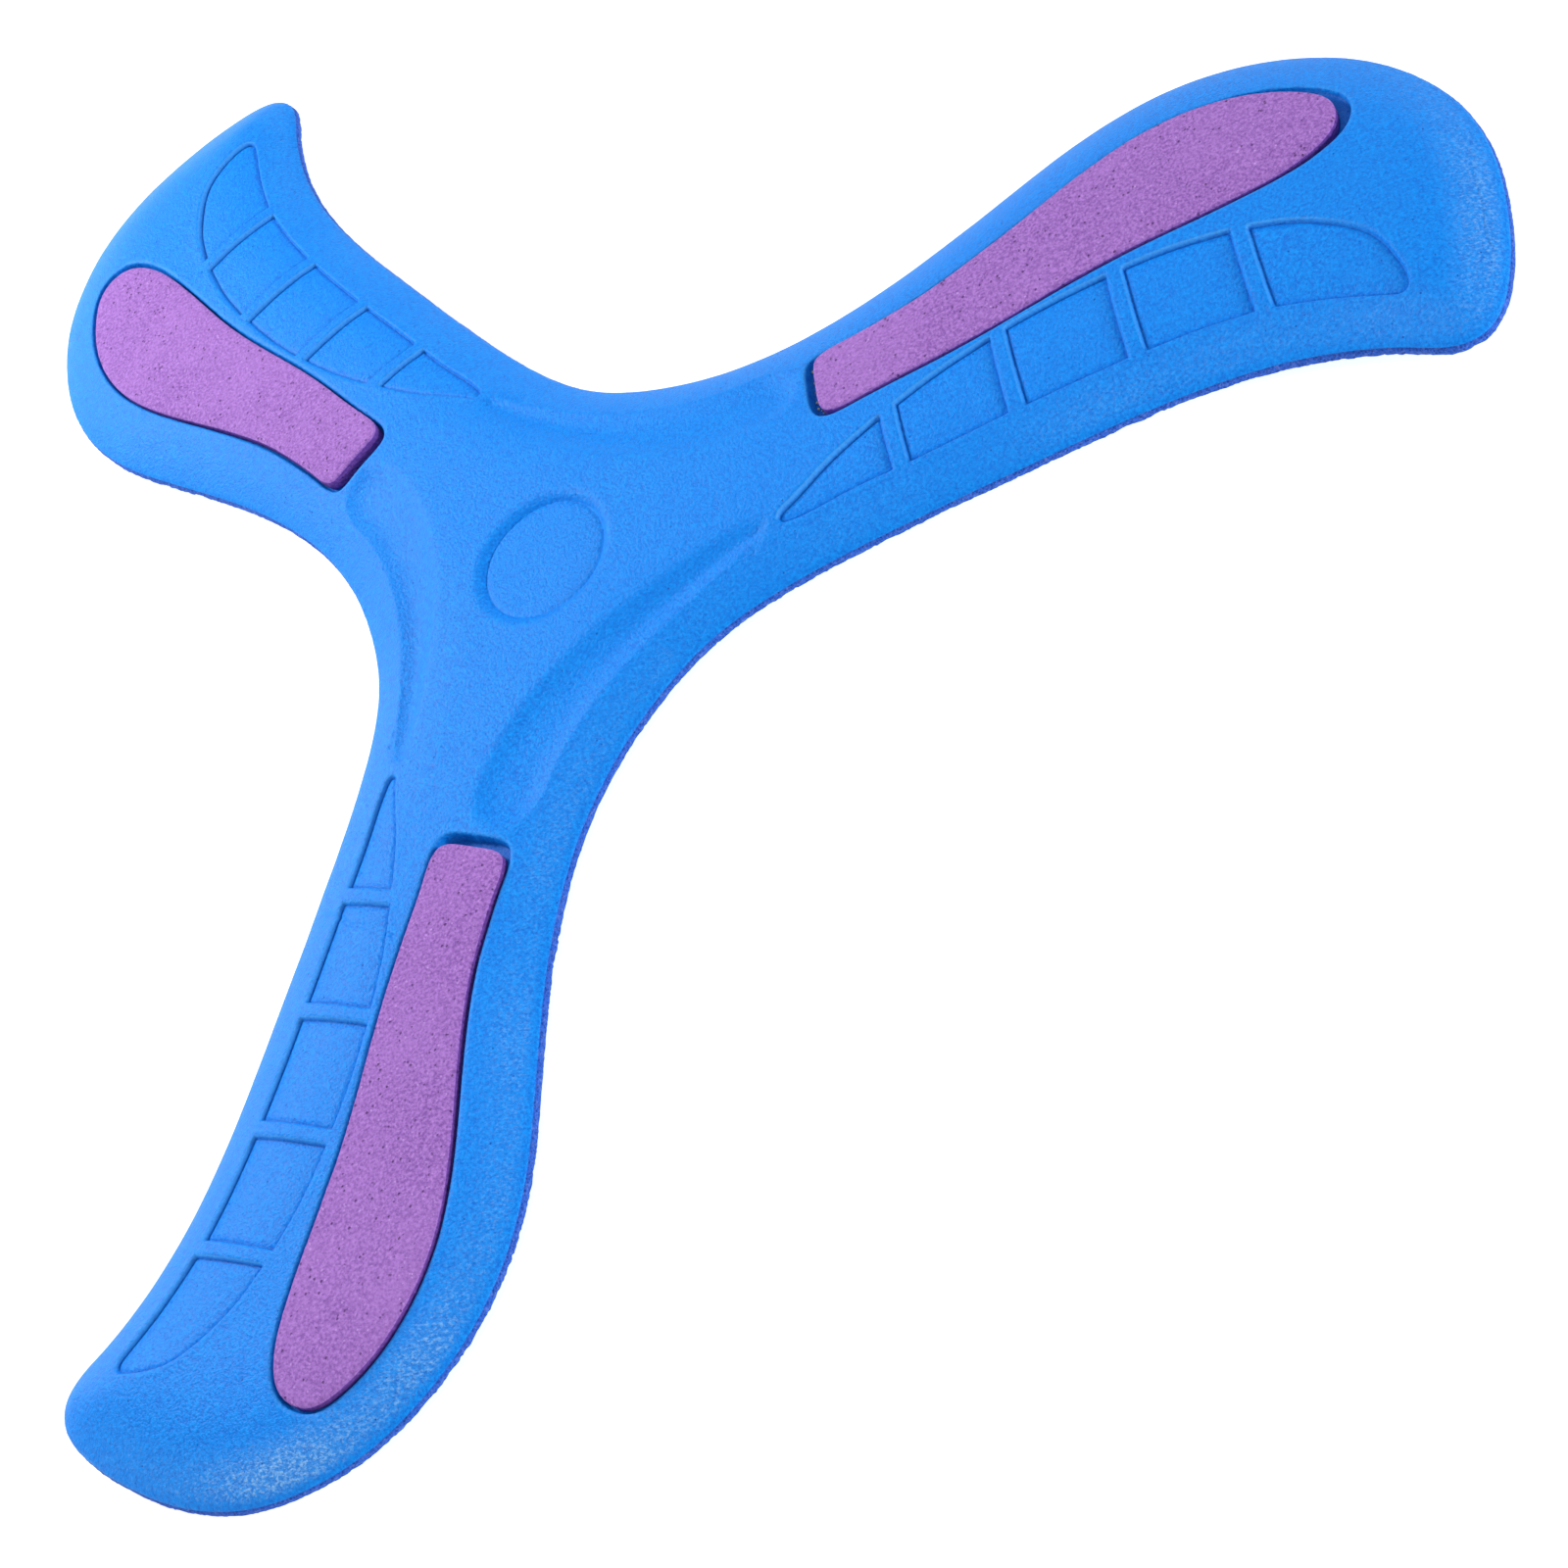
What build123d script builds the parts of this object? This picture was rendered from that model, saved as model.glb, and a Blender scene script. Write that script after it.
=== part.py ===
from build123d import *
import math
import os

# Soft three-blade throwing boomerang, moulded closed-cell foam.
# Frame: origin at the hub centre on the flat underside, +Z up, +X along
# the centre line of blade B. Blades A and C are blade B turned by +120 and
# -120 degrees about Z. All sizes in millimetres.

BLADES = 3
BLADE_ANGLE = {"b": 0.0, "a": 120.0, "c": 240.0}

THICKNESS = 6.28        # underside to the flat top of the hub
RIM_HEIGHT = 1.53       # height of the trimmed outer edge
DOME_POWER = 2.2        # how early the rounded shoulder rises
DOME_STATIONS = (0.0, 0.1, 0.22, 0.38, 0.58, 0.8, 1.0)

PANEL_OUTER_Z = 4.38    # panel floor height along its outer side
PANEL_FALL = 0.104      # slope of the panel floors towards the edge
HUB_FLOOR_RADIUS = 10.0
HUB_LIP_RADIUS = 11.3
HUB_DEPTH = 1.2
SCOOP_FLOOR_Z = 4.75    # crescent scoops between the blades

POCKET_FLOOR_Z = 4.05   # flat floor the inlays are glued to
POCKET_STRETCH = 1.0135
POCKET_CLEARANCE = 0.65
GLUE_THICKNESS = 0.15
GLUE_INSET = 1.2        # the glue film stops short of the inlay edge
INLAY_THICKNESS = 2.5
INLAY_EDGE_RADIUS = 0.3

POCKET_CENTRE = (89.2, 10.3)
# centre of each inlay in its blade's own frame, and its length factor
INLAY_PLACE = {
    "b": (88.75, 10.20, 0.988),
    "a": (88.10, 10.50, 0.988),
    "c": (90.00, 10.60, 1.000),
}

# one third of the plan outline: from the notch before blade B, out along
# its trailing edge, round the hooked tip and back along the leading edge
OUTLINE_THIRD = [
    (14.38, -28.44), (19.44, -25.55), (24.68, -23.57), (30.64, -22.25),
    (37.52, -21.41), (45.01, -20.93), (53.0, -20.75), (61.09, -20.62),
    (69.08, -20.64), (77.38, -20.66), (85.11, -20.75), (92.86, -21.14),
    (100.09, -21.87), (106.53, -23.02), (112.91, -24.81), (118.87, -27.18),
    (124.32, -30.07), (129.08, -32.85), (132.07, -33.49), (134.75, -32.74),
    (137.05, -30.61), (139.08, -26.8), (141.05, -21.06), (142.38, -14.86),
    (143.19, -8.37), (143.12, -2.63), (142.26, 2.91), (140.57, 8.06),
    (137.94, 13.07), (134.58, 17.76), (130.7, 21.72), (126.07, 25.18),
    (120.78, 28.15), (115.33, 30.35), (109.78, 31.71), (103.88, 32.3),
    (97.92, 32.08), (91.67, 31.12), (84.95, 29.4), (77.17, 27.06),
    (69.39, 24.78), (62.08, 22.9), (55.13, 21.58), (48.25, 20.76),
    (41.8, 20.6), (35.38, 21.1), (29.31, 22.24), (23.23, 24.16),
]

# edge of the flat top, point for point inside the outline; the rounded
# shoulder spans from one to the other
FLAT_TOP_THIRD = [
    (5.27, -14.68), (12.38, -10.64), (20.09, -7.72), (28.1, -5.95),
    (36.21, -4.96), (44.45, -4.44), (52.71, -4.25), (60.95, -4.12),
    (69.18, -4.14), (77.37, -4.16), (85.63, -4.26), (93.93, -4.67),
    (102.14, -5.5), (109.6, -6.94), (115.3, -8.6), (119.3, -10.3),
    (122.0, -11.9), (123.7, -13.3), (124.8, -14.2), (125.7, -14.5),
    (126.4, -14.1), (126.8, -12.9), (126.95, -10.7), (126.95, -7.7),
    (126.7, -4.3), (126.24, -1.03), (125.33, 1.73), (123.87, 4.46),
    (121.99, 7.09), (119.75, 9.38), (116.96, 11.42), (113.71, 13.24),
    (110.33, 14.62), (106.91, 15.46), (103.28, 15.81), (99.23, 15.63),
    (94.51, 14.85), (88.7, 13.31), (81.67, 11.18), (73.89, 8.91),
    (65.84, 6.84), (57.72, 5.29), (49.58, 4.31), (41.4, 4.11),
    (33.27, 4.74), (25.25, 6.25), (17.5, 8.69), (10.9, 12.2),
]

# inlay outline about its own centre
INLAY_OUTLINE = [
    (-42.47, -8.95), (-41.19, -9.81), (-39.15, -10.04), (-34.78, -9.83),
    (-27.77, -9.64), (-20.91, -9.4), (-14.46, -8.9), (-7.22, -8.15),
    (-0.48, -7.54), (5.65, -7.27), (12.35, -7.31), (19.58, -7.43),
    (25.76, -7.33), (30.29, -6.86), (33.74, -5.89), (36.24, -4.55),
    (37.75, -2.85), (38.48, -0.77), (38.41, 1.35), (37.43, 3.33),
    (35.38, 5.45), (32.2, 7.79), (28.47, 9.75), (24.34, 11.21),
    (19.97, 12.12), (15.49, 12.45), (10.83, 12.18), (5.8, 11.32),
    (0.19, 9.88), (-6.48, 7.84), (-13.22, 5.81), (-19.26, 4.24),
    (-24.86, 3.14), (-30.39, 2.53), (-37.06, 2.15), (-40.62, 1.88),
    (-42.09, 1.15), (-42.62, -0.4), (-42.79, -3.33), (-42.91, -7.15),
]

# five recessed grip panels of one blade, corners root to tip
PANEL_1 = [(36.6, -12.9), (37.5, -12.0), (45.5, -7.85), (54.35, -4.61),
           (54.03, -13.36), (45.5, -13.45), (37.6, -13.6)]
PANEL_2 = [(57.1, -3.74), (64.5, -1.75), (72.52, -0.44),
           (71.95, -13.19), (64.3, -13.30), (56.67, -13.37)]
PANEL_3 = [(75.0, 0.0), (82.7, 0.55), (90.47, 0.48),
           (89.87, -13.61), (82.2, -13.33), (74.61, -13.24)]
PANEL_4 = [(93.01, 0.46), (100.8, -0.35), (108.29, -2.12),
           (107.78, -15.85), (100.3, -14.55), (92.54, -13.78)]
PANEL_5 = [(110.77, -2.93), (116.4, -5.35), (120.2, -7.9), (123.4, -10.7),
           (125.5, -13.3), (126.8, -16.3), (127.6, -19.6), (127.75, -22.2),
           (127.1, -23.4), (125.8, -23.5), (118.5, -19.75), (110.42, -16.58)]

# crescent scoop between blades A and B: hub side, then rim side
SCOOP_HUB_SIDE = [(-6.9, 34.9), (-4.6, 31.0), (0.0, 25.3), (5.0, 20.0),
                  (10.0, 15.4), (15.0, 11.6), (20.0, 8.6), (25.0, 6.3),
                  (30.0, 4.9), (35.0, 4.2), (39.5, 4.2)]
SCOOP_END = [(42.6, 5.9), (43.7, 9.0), (42.7, 12.2)]
SCOOP_RIM_SIDE = [(39.5, 14.0), (34.0, 14.6), (27.0, 15.9), (20.0, 18.4),
                  (13.0, 22.2), (6.0, 27.2), (0.5, 31.8), (-4.3, 36.2)]

# panel outline, a point on its outer side, direction towards the inlay
PANELS = [
    (PANEL_1, (54.0, -13.4), (0.0, 1.0)),
    (PANEL_2, (64.3, -13.3), (0.0, 1.0)),
    (PANEL_3, (82.2, -13.3), (0.02, 1.0)),
    (PANEL_4, (100.3, -14.6), (0.134, 0.991)),
    (PANEL_5, (118.5, -19.9), (0.405, 0.914)),
]


def turn(p, deg):
    c, s = math.cos(math.radians(deg)), math.sin(math.radians(deg))
    return (p[0] * c - p[1] * s, p[0] * s + p[1] * c)


def closed_face(pts, z=0.0):
    line = Spline(*[(x, y, z) for x, y in pts], periodic=True)
    return Face(Wire([line]))


def poly_face(pts):
    return Face(Wire.make_polygon([(x, y, 0) for x, y in pts], close=True))


def up(face, height):
    return extrude(face, amount=height, dir=(0, 0, 1))


def shrink(pts, inset):
    """move every point of a closed outline inwards along its normal"""
    n = len(pts)
    area = sum(pts[i][0] * pts[(i + 1) % n][1]
               - pts[(i + 1) % n][0] * pts[i][1] for i in range(n))
    sign = 1.0 if area > 0 else -1.0
    out = []
    for i in range(n):
        (x0, y0), (x1, y1) = pts[i - 1], pts[(i + 1) % n]
        dx, dy = x1 - x0, y1 - y0
        length = math.hypot(dx, dy)
        out.append((pts[i][0] - sign * dy / length * inset,
                    pts[i][1] + sign * dx / length * inset))
    return out


OUTLINE = [turn(p, a) for a in (0.0, 120.0, 240.0) for p in OUTLINE_THIRD]
FLAT_TOP = [turn(p, a) for a in (0.0, 120.0, 240.0) for p in FLAT_TOP_THIRD]

# trimmed edge, then the rounded shoulder as a loft up to the flat top
rim = up(closed_face(OUTLINE), RIM_HEIGHT)
sections = []
for t in DOME_STATIONS:
    height = THICKNESS - (THICKNESS - RIM_HEIGHT) * (1.0 - t) ** DOME_POWER
    pts = [(p[0] + t * (q[0] - p[0]), p[1] + t * (q[1] - p[1]), height)
           for p, q in zip(OUTLINE, FLAT_TOP)]
    sections.append(Wire([Spline(*pts, periodic=True)]))
shoulder = Solid.make_loft(sections, ruled=False)
body = rim + shoulder

# tools for one blade, reaching through the top face; each panel floor is a
# plane that falls towards the trailing edge with the shoulder above it
panel_tools = []
for points, outer, (nx, ny) in PANELS:
    prism = up(poly_face(points), 12.0)
    floor = Plane(origin=(outer[0], outer[1], PANEL_OUTER_Z),
                  z_dir=(-PANEL_FALL * nx, -PANEL_FALL * ny, 1.0))
    panel_tools.append(split(prism, bisect_by=floor, keep=Keep.TOP))
scoop_points = SCOOP_HUB_SIDE + SCOOP_END + SCOOP_RIM_SIDE
scoop_tool = up(closed_face(scoop_points), 8.0).moved(
    Location((0, 0, SCOOP_FLOOR_Z)))
pocket_points = shrink([(x * POCKET_STRETCH, y) for x, y in INLAY_OUTLINE],
                       -POCKET_CLEARANCE)
pocket_tool = up(closed_face(pocket_points), 8.0).moved(
    Location((POCKET_CENTRE[0], POCKET_CENTRE[1], POCKET_FLOOR_Z)))
hub_tool = Cone(HUB_FLOOR_RADIUS, HUB_LIP_RADIUS, HUB_DEPTH,
                align=(Align.CENTER, Align.CENTER, Align.MIN))
tools = [hub_tool.moved(Location((0, 0, THICKNESS - HUB_DEPTH)))]
for angle in BLADE_ANGLE.values():
    for tool in panel_tools + [scoop_tool, pocket_tool]:
        tools.append(tool.rotate(Axis.Z, angle))
body = body - tools

foam_body = body.solids()[0] if len(body.solids()) == 1 else body

# inlays and the glue films that hold them
pieces = {"foam_body": foam_body}
for name, angle in BLADE_ANGLE.items():
    cx, cy, length_factor = INLAY_PLACE[name]
    points = [(x * length_factor, y) for x, y in INLAY_OUTLINE]
    glue = up(closed_face(shrink(points, GLUE_INSET)), GLUE_THICKNESS)
    pad = up(closed_face(points), INLAY_THICKNESS)
    pad = fillet(pad.faces().sort_by(Axis.Z)[-1].edges(), INLAY_EDGE_RADIUS)
    glue = glue.moved(Location((cx, cy, POCKET_FLOOR_Z)))
    pad = pad.moved(Location((cx, cy, POCKET_FLOOR_Z + GLUE_THICKNESS)))
    pieces["blade_" + name + "_glue_film"] = glue.rotate(Axis.Z, angle)
    pieces["blade_" + name + "_inlay"] = pad.rotate(Axis.Z, angle)

os.makedirs("parts", exist_ok=True)
for name, shape in pieces.items():
    export_step(shape, "parts/" + name + ".step")
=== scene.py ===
import bpy
import math
import numpy as np
from mathutils import Matrix, Vector, kdtree, noise
from mathutils.geometry import delaunay_2d_cdt


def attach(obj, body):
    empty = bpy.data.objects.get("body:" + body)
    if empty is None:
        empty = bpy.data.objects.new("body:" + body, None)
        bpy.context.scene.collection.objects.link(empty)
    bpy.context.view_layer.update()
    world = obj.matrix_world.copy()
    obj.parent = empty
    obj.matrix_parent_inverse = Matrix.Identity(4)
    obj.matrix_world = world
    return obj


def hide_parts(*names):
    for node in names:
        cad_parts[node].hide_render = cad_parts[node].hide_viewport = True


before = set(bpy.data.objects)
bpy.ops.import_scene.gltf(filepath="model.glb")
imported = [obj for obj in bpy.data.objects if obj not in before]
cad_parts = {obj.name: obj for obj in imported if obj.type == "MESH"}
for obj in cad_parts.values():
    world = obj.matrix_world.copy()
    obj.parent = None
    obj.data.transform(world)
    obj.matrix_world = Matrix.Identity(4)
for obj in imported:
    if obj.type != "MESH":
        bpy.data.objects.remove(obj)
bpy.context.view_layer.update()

MM = 0.001

# ---------------------------------------------------------------- sizes (mm)
THICKNESS = 6.28
RIM = 1.53
DOME_WIDTH = 20.0
DOME_POWER = 2.7
PANEL_DEPTH = 0.55
SCOOP_DEPTH = 1.1
POCKET_FLOOR = 4.05
GLUE = 0.15
INLAY_TOP = 6.55
INLAY_SAG = 0.80
BLADE = {"b": 0.0, "a": 120.0, "c": 240.0}
# how each soft blade lies: swing, lift at the tip, twist, stretch
LAY = {"b": (-0.0125, 0.94, 0.245, 0.0067),
       "a": (0.0002, -0.153, 0.476, -0.0008),
       "c": (0.0125, -0.791, 0.501, -0.0059)}
# centre of each inlay in its blade's frame, length factor, root lift, turn
PLACE = {"b": (88.75, 10.20, 0.988, 0.05, 0.0),
         "a": (88.10, 10.50, 0.988, 0.55, 0.0),
         "c": (90.00, 10.80, 1.000, 0.05, 0.0)}
POCKET_CENTRE = {"b": (89.1, 10.25), "a": (88.4, 10.48), "c": (89.4, 10.75)}
POCKET_STRETCH = 1.0200
POCKET_CLEAR = 0.36

OUTLINE_THIRD = [
    (14.38, -28.44), (19.44, -25.55), (24.68, -23.57), (30.64, -22.25),
    (37.52, -21.41), (45.01, -20.93), (53.0, -20.75), (61.09, -20.62),
    (69.08, -20.64), (77.38, -20.66), (85.11, -20.75), (92.86, -21.14),
    (100.09, -21.87), (106.53, -23.02), (112.91, -24.81), (118.87, -27.18),
    (124.32, -30.07), (129.08, -32.85), (132.07, -33.49), (134.75, -32.74),
    (137.05, -30.61), (139.08, -26.8), (141.05, -21.06), (142.38, -14.86),
    (143.19, -8.37), (143.12, -2.63), (142.26, 2.91), (140.57, 8.06),
    (137.94, 13.07), (134.58, 17.76), (130.7, 21.72), (126.07, 25.18),
    (120.78, 28.15), (115.33, 30.35), (109.78, 31.71), (103.88, 32.3),
    (97.92, 32.08), (91.67, 31.12), (84.95, 29.4), (77.17, 27.06),
    (69.39, 24.78), (62.08, 22.9), (55.13, 21.58), (48.25, 20.76),
    (41.8, 20.6), (35.38, 21.1), (29.31, 22.24), (23.23, 24.16)]
INLAY_OUTLINE = [
    (-42.47, -8.95), (-41.19, -9.81), (-39.15, -10.04), (-34.78, -9.83),
    (-27.77, -9.64), (-20.91, -9.4), (-14.46, -8.9), (-7.22, -8.15),
    (-0.48, -7.54), (5.65, -7.27), (12.35, -7.31), (19.58, -7.43),
    (25.76, -7.33), (30.29, -6.86), (33.74, -5.89), (36.24, -4.55),
    (37.75, -2.85), (38.48, -0.77), (38.41, 1.35), (37.43, 3.33),
    (35.38, 5.45), (32.2, 7.79), (28.47, 9.75), (24.34, 11.21),
    (19.97, 12.12), (15.49, 12.45), (10.83, 12.18), (5.8, 11.32),
    (0.19, 9.88), (-6.48, 7.84), (-13.22, 5.81), (-19.26, 4.24),
    (-24.86, 3.14), (-30.39, 2.53), (-37.06, 2.15), (-40.62, 1.88),
    (-42.09, 1.15), (-42.62, -0.4), (-42.79, -3.33), (-42.91, -7.15)]
# panels: each side is a list of points, meeting in crisp corners
PANELS = [
    [[(36.35, -12.75), (36.7, -12.2), (37.6, -11.7), (45.5, -7.85), (54.35, -4.61)],
     [(54.35, -4.61), (54.03, -13.36)],
     [(54.03, -13.36), (45.5, -13.45), (37.4, -13.62), (36.6, -13.35), (36.35, -12.75)]],
    [[(57.1, -3.74), (64.5, -1.75), (72.52, -0.44)], [(72.52, -0.44), (71.95, -13.19)],
     [(71.95, -13.19), (64.3, -13.30), (56.67, -13.37)], [(56.67, -13.37), (57.1, -3.74)]],
    [[(75.0, 0.0), (82.7, 0.55), (90.47, 0.48)], [(90.47, 0.48), (89.87, -13.61)],
     [(89.87, -13.61), (82.2, -13.33), (74.61, -13.24)], [(74.61, -13.24), (75.0, 0.0)]],
    [[(93.01, 0.46), (100.8, -0.35), (108.29, -2.12)], [(108.29, -2.12), (107.78, -15.85)],
     [(107.78, -15.85), (100.3, -14.55), (92.54, -13.78)], [(92.54, -13.78), (93.01, 0.46)]],
    [[(110.77, -2.93), (116.4, -5.35), (120.2, -7.9), (123.4, -10.7), (125.5, -13.3),
      (126.8, -16.3), (127.6, -19.6), (127.8, -22.0), (127.4, -23.2), (126.6, -23.6),
      (125.4, -23.25), (118.5, -19.75), (110.42, -16.58)], [(110.42, -16.58), (110.77, -2.93)]]]
SCOOP = [(-6.9, 34.9), (-4.6, 31.0), (0.0, 25.3), (5.0, 20.0), (10.0, 15.4),
         (15.0, 11.6), (20.0, 8.6), (25.0, 6.3), (30.0, 4.9), (35.0, 4.2),
         (39.5, 4.2), (42.6, 5.9), (43.7, 9.0), (42.7, 12.2), (39.5, 14.0),
         (34.0, 14.6), (27.0, 15.9), (20.0, 18.4), (13.0, 22.2), (6.0, 27.2),
         (0.5, 31.8), (-4.3, 36.2)]

# fine creases pressed into the skin: blade, depth, half width, line
CREASES = [
    ("c", 0.16, 0.30, [(34.6, 15.2), (35.23, 17.28), (35.31, 18.61), (35.57, 19.35)]),
    ("c", 0.18, 0.30, [(33.2, 18.24), (34.42, 19.15), (35.11, 19.76), (35.65, 20.3)]),
    ("c", 0.10, 0.28, [(38.13, 18.19), (36.99, 18.6), (36.3, 19.0)]),
    ("c", 0.10, 0.28, [(29.72, 20.04), (28.91, 20.45)]),
    ("b", 0.14, 0.26, [(82.9, -19.5), (86.14, -19.73), (88.52, -19.91), (90.31, -19.83),
                       (92.56, -19.88), (93.99, -19.82), (95.71, -19.89), (97.1, -19.9)]),
    ("c", 0.13, 0.55, [(58.15, -17.69), (58.46, -15.22), (58.7, -13.6), (59.1, -12.4),
                       (59.56, -11.52), (60.06, -8.53), (60.17, -6.31)]),
    ("c", 0.18, 0.32, [(61.2, -2.6), (61.38, -1.85), (61.78, -0.68), (62.14, 0.1)]),
    ("b", 0.13, 0.28, [(139.91, -8.01), (139.92, -9.59), (139.74, -12.42), (139.55, -14.67),
                       (139.11, -16.83), (138.73, -18.71), (138.57, -20.13), (138.64, -21.56),
                       (138.72, -22.97)])]


# ------------------------------------------------------------- plan geometry
def rot(p, deg):
    a = math.radians(deg)
    p = np.asarray(p, float)
    return p @ np.array([[math.cos(a), math.sin(a)], [-math.sin(a), math.cos(a)]])


def spline_closed(pts, step):
    """even points along the closed cubic spline through pts"""
    p = np.asarray(pts, float)
    n = len(p)
    h = np.hypot(*(np.roll(p, -1, 0) - p).T)
    a = np.zeros((n, n))
    r = np.zeros((n, 2))
    for i in range(n):
        j, k = (i - 1) % n, (i + 1) % n
        a[i, j] += h[j]
        a[i, i] += 2 * (h[j] + h[i])
        a[i, k] += h[i]
        r[i] = 6 * ((p[k] - p[i]) / h[i] - (p[i] - p[j]) / h[j])
    m = np.linalg.solve(a, r)
    out = []
    for i in range(n):
        k = (i + 1) % n
        t = np.linspace(0, h[i], 24, endpoint=False)[:, None]
        u = h[i] - t
        out.append(m[i] * u ** 3 / (6 * h[i]) + m[k] * t ** 3 / (6 * h[i])
                   + (p[i] / h[i] - m[i] * h[i] / 6) * u + (p[k] / h[i] - m[k] * h[i] / 6) * t)
    return even(np.vstack(out), step, True)


def spline_open(pts, step):
    """even points along the open natural cubic spline through pts, last one left out"""
    p = np.asarray(pts, float)
    n = len(p)
    if n > 2:
        h = np.hypot(*np.diff(p, axis=0).T)
        a = np.eye(n)
        r = np.zeros((n, 2))
        for i in range(1, n - 1):
            a[i, i - 1:i + 2] = h[i - 1], 2 * (h[i - 1] + h[i]), h[i]
            r[i] = 6 * ((p[i + 1] - p[i]) / h[i] - (p[i] - p[i - 1]) / h[i - 1])
        m = np.linalg.solve(a, r)
        out = []
        for i in range(n - 1):
            t = np.linspace(0, h[i], 20, endpoint=False)[:, None]
            u = h[i] - t
            out.append(m[i] * u ** 3 / (6 * h[i]) + m[i + 1] * t ** 3 / (6 * h[i])
                       + (p[i] / h[i] - m[i] * h[i] / 6) * u
                       + (p[i + 1] / h[i] - m[i + 1] * h[i] / 6) * t)
        p = np.vstack(out + [p[-1:]])
    return even(p, step, False)


def even(p, step, closed):
    if closed:
        p = np.vstack([p, p[:1]])
    s = np.r_[0, np.cumsum(np.hypot(*np.diff(p, axis=0).T))]
    n = max(2, int(round(s[-1] / step)))
    u = np.linspace(0, s[-1], n + 1)[:-1]
    return np.c_[np.interp(u, s, p[:, 0]), np.interp(u, s, p[:, 1])]


def area(p):
    q = np.roll(p, -1, 0)
    return 0.5 * np.sum(p[:, 0] * q[:, 1] - q[:, 0] * p[:, 1])


def offset(p, d):
    """closed outline moved outwards by d, corners mitred"""
    q = np.roll(p, -1, 0) - p
    q /= np.linalg.norm(q, axis=1)[:, None] + 1e-12
    nrm = np.c_[q[:, 1], -q[:, 0]] * (1 if area(p) > 0 else -1)
    a, b = np.roll(nrm, 1, 0), nrm
    m = a + b
    m /= np.maximum((m * a).sum(1), 0.35)[:, None]
    return p + m * d


class Region:
    """signed distance to a closed outline, negative inside"""

    def __init__(self, pts):
        self.p = pts
        fine = even(pts, 0.06, True)
        self.tree = kdtree.KDTree(len(fine))
        for i, q in enumerate(fine):
            self.tree.insert((q[0], q[1], 0.0), i)
        self.tree.balance()
        self.lo, self.hi = pts.min(0), pts.max(0)

    def inside(self, x):
        p, q = self.p, np.roll(self.p, -1, 0)
        r = np.zeros(len(x), bool)
        for k in range(0, len(x), 4000):
            xs = x[k:k + 4000]
            c = (p[None, :, 1] > xs[:, None, 1]) != (q[None, :, 1] > xs[:, None, 1])
            with np.errstate(divide="ignore", invalid="ignore"):
                xi = p[None, :, 0] + (xs[:, None, 1] - p[None, :, 1]) * (
                    (q - p)[None, :, 0] / (q - p)[None, :, 1])
            r[k:k + 4000] = (np.sum(c & (xs[:, None, 0] < xi), axis=1) % 2) == 1
        return r

    def signed(self, x, reach):
        d = np.full(len(x), 1e3)
        near = np.all((x > self.lo - reach) & (x < self.hi + reach), axis=1)
        idx = np.flatnonzero(near)
        if len(idx):
            v = np.array([self.tree.find((a, b, 0.0))[2] for a, b in x[idx]])
            d[idx] = np.where(self.inside(x[idx]), -v, v)
        return d


def curve(x, table):
    xs, ys = zip(*table)
    return np.interp(x, xs, ys)


def smooth(x):
    x = np.clip(x, 0, 1)
    return x * x * (3 - 2 * x)


def noise2(p, scale, seed=0.0):
    return np.array([noise.noise((a / scale, b / scale, seed)) for a, b in p])


outline = spline_closed(np.vstack([rot(OUTLINE_THIRD, a) for a in (0, 120, 240)]), 0.42)
body_region = Region(outline)
panel_shapes = []
for sides in PANELS:
    panel_shapes.append(np.vstack([spline_open(s, 0.55) for s in sides]))
scoop_shape = spline_closed(SCOOP, 0.8)
pocket_base = offset(spline_closed([(x * POCKET_STRETCH, y) for x, y in INLAY_OUTLINE], 0.55),
                     POCKET_CLEAR)
pocket_shapes = {k: pocket_base + np.array(c) for k, c in POCKET_CENTRE.items()}
scoop_soft = spline_open(SCOOP[:14], 0.1)
scoop_crisp = spline_open(SCOOP[13:], 0.1)
t = np.linspace(0, 2 * math.pi, 130, endpoint=False)
hub_shape = np.c_[np.cos(t), np.sin(t)] * 10.0

PANEL_EDGE = [(-99, -PANEL_DEPTH), (-0.38, -PANEL_DEPTH), (-0.16, -PANEL_DEPTH - 0.16),
              (0, -PANEL_DEPTH - 0.12), (0.10, -0.32), (0.28, -0.05),
              (0.5, 0.05), (0.8, 0.07), (1.15, 0.04), (1.8, 0.01), (2.6, 0.0)]
POCKET_EDGE = [(0.0, -0.38), (0.08, -0.22), (0.22, -0.08), (0.45, 0.0), (0.8, 0.02), (1.6, 0.0)]
HUB_EDGE = [(-99, -0.85), (-0.35, -0.85), (-0.12, -0.98), (0, -0.94), (0.12, -0.74), (0.5, -0.46),
            (0.9, -0.22), (1.3, -0.06), (1.7, 0.02), (2.3, 0.02), (3.4, 0.0)]

SCOOP_SOFT = [(-0.8, 0.0), (-0.4, 0.015), (0.0, 0.07), (0.5, 0.20), (1.2, 0.44), (2.0, 0.68),
              (3.0, 0.88), (4.2, 0.98), (6.0, 1.0)]
SCOOP_CRISP = [(-0.7, 0.0), (-0.3, -0.03), (0.0, 0.02), (0.3, 0.14), (1.0, 0.42), (2.0, 0.74),
               (3.0, 0.93), (4.0, 1.0)]


class Line:
    """distance to an open line"""

    def __init__(self, pts):
        self.tree = kdtree.KDTree(len(pts))
        for i, q in enumerate(pts):
            self.tree.insert((q[0], q[1], 0.0), i)
        self.tree.balance()

    def away(self, x):
        return np.array([self.tree.find((a, b, 0.0))[2] for a, b in x])


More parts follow.
